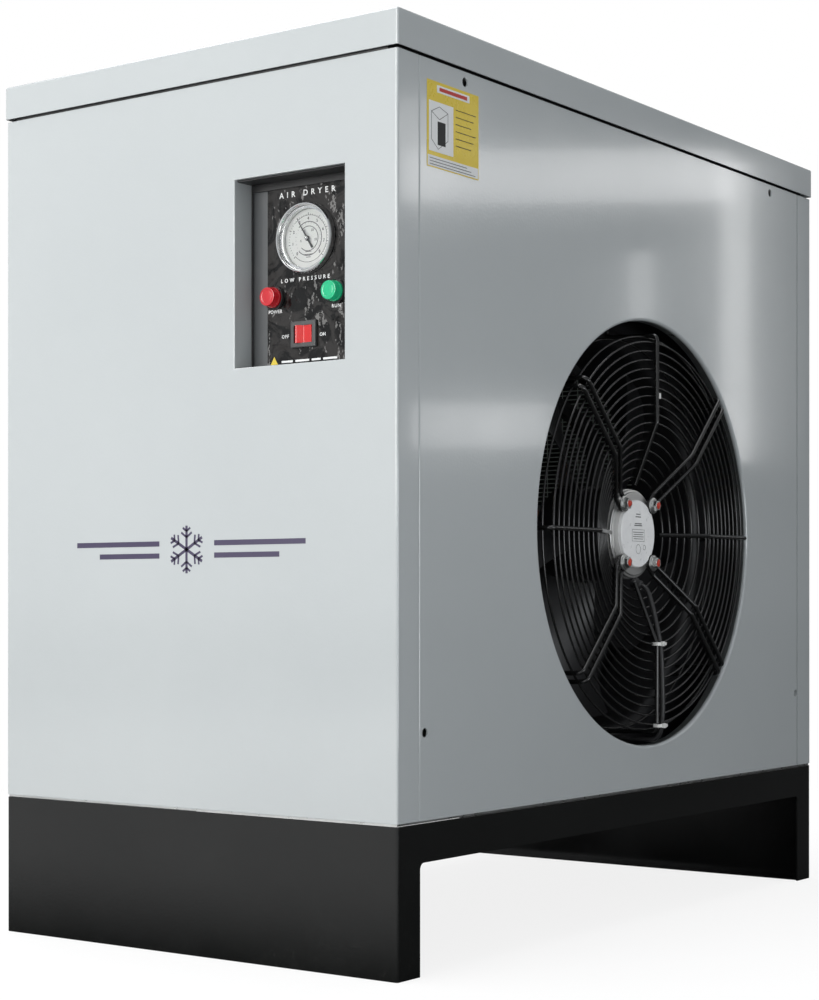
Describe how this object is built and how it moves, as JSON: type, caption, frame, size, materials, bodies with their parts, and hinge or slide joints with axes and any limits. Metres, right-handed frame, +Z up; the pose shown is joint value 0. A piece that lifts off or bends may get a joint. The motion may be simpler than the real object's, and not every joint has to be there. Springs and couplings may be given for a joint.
{
  "type": "refrigerated air dryer",
  "caption": "Floor-standing refrigerated compressed-air dryer: sheet-metal cabinet on an open base, control window in front, guarded axial fan on one side.",
  "frame": {"origin": "bottom centre of the bounding box, on the floor", "axes": "+Z up; the control face looks along -Y; the fan side looks along +X; the air ports look along +Y"},
  "size_m": [0.5224, 0.9215, 0.89],
  "materials": {
    "cabinet_grey": "light grey semi-gloss powder coat with fine orange peel",
    "gloss_black": "gloss black coat",
    "satin_black": "satin black coat",
    "film_black": "glossy dark printed film",
    "zinc_plate": "bright zinc plate",
    "cast_aluminium": "die-cast, satin",
    "polished_steel": "polished",
    "dial_white": "matt white",
    "pointer_black": "matt black",
    "clear_glass": "clear",
    "black_plastic": "moulded black",
    "lamp_red": "translucent red",
    "lamp_green": "translucent green",
    "rocker_red": "translucent red",
    "rubber_black": "smooth sheath",
    "foam_black": "closed-cell foam jacket",
    "copper": "drawn copper tube",
    "brass": "machined brass",
    "relay_cream": "moulded",
    "lever_red": "dipped vinyl"
  },
  "bodies": {
    "cabinet": {"base_front_skirt": "gloss_black", "base_rear_skirt": "gloss_black", "base_left_side": "gloss_black", "base_right_side": "gloss_black", "deck_plate": "zinc_plate", "top_frame": "satin_black", "front_panel": "cabinet_grey", "rear_panel": "cabinet_grey", "right_side_panel": "cabinet_grey", "left_side_panel": "cabinet_grey", "top_cover": "cabinet_grey", "rear_vent_grille": "satin_black", "control_plate": "satin_black", "control_film": "film_black", "gauge_case": "polished_steel", "gauge_dial": "dial_white", "gauge_glass": "clear_glass", "power_lamp_body": "black_plastic", "power_lamp_lens": "lamp_red", "run_lamp_body": "black_plastic", "run_lamp_lens": "lamp_green", "switch_frame": "black_plastic", "fan_cowl": "satin_black", "fan_guard": "gloss_black", "fan_motor_flange": "cast_aluminium", "fan_motor_nameplate": "cast_aluminium", "guard_bolt_1": "zinc_plate", "guard_bolt_2": "zinc_plate", "guard_bolt_3": "zinc_plate", "guard_bolt_4": "zinc_plate", "fan_cable": "rubber_black", "compressor_shell": "satin_black", "compressor_base": "zinc_plate", "condenser_core": "cast_aluminium", "condenser_frame": "zinc_plate", "heat_exchanger": "foam_black", "water_separator": "foam_black", "separator_inlet_pipe": "foam_black", "separator_outlet_pipe": "foam_black", "automatic_drain": "brass", "drain_hose": "rubber_black", "air_inlet_pipe": "brass", "air_outlet_pipe": "brass", "suction_accumulator": "satin_black", "filter_drier": "copper", "hot_gas_valve": "brass", "discharge_line": "copper", "liquid_line": "copper", "expansion_capillary": "copper", "suction_line": "foam_black", "hot_gas_line": "copper", "electrical_tray": "zinc_plate", "contactor": "relay_cream", "supply_cable_gland": "black_plastic", "drain_cock_body": "brass"},
    "fan_rotor": {"fan_rotor_can": "satin_black", "fan_impeller": "satin_black"},
    "gauge_needle": {"gauge_pointer": "pointer_black"},
    "rocker": {"switch_rocker": "rocker_red"},
    "drain_lever": {"drain_cock_lever": "lever_red"}
  },
  "joints": [
    {"name": "fan_spin", "type": "hinge", "parent": "cabinet", "child": "fan_rotor", "pos_m": [0.158, 0.012, 0.4224], "axis": [1, 0, 0], "continuous": true},
    {"name": "gauge_sweep", "type": "hinge", "parent": "cabinet", "child": "gauge_needle", "pos_m": [0.129, -0.4331, 0.6955], "axis": [0, 1, 0], "range_deg": [-102, 168], "stiffness_Nm_per_rad": 0.0001},
    {"name": "switch_rock", "type": "hinge", "parent": "cabinet", "child": "rocker", "pos_m": [0.126, -0.4323, 0.6039], "axis": [0, 0, 1], "range_deg": [-20, 0]},
    {"name": "drain_lever_swing", "type": "hinge", "parent": "cabinet", "child": "drain_lever", "pos_m": [0.115, 0.444, 0.2168], "axis": [0, 0, 1], "range_deg": [0, 90]}
  ]
}
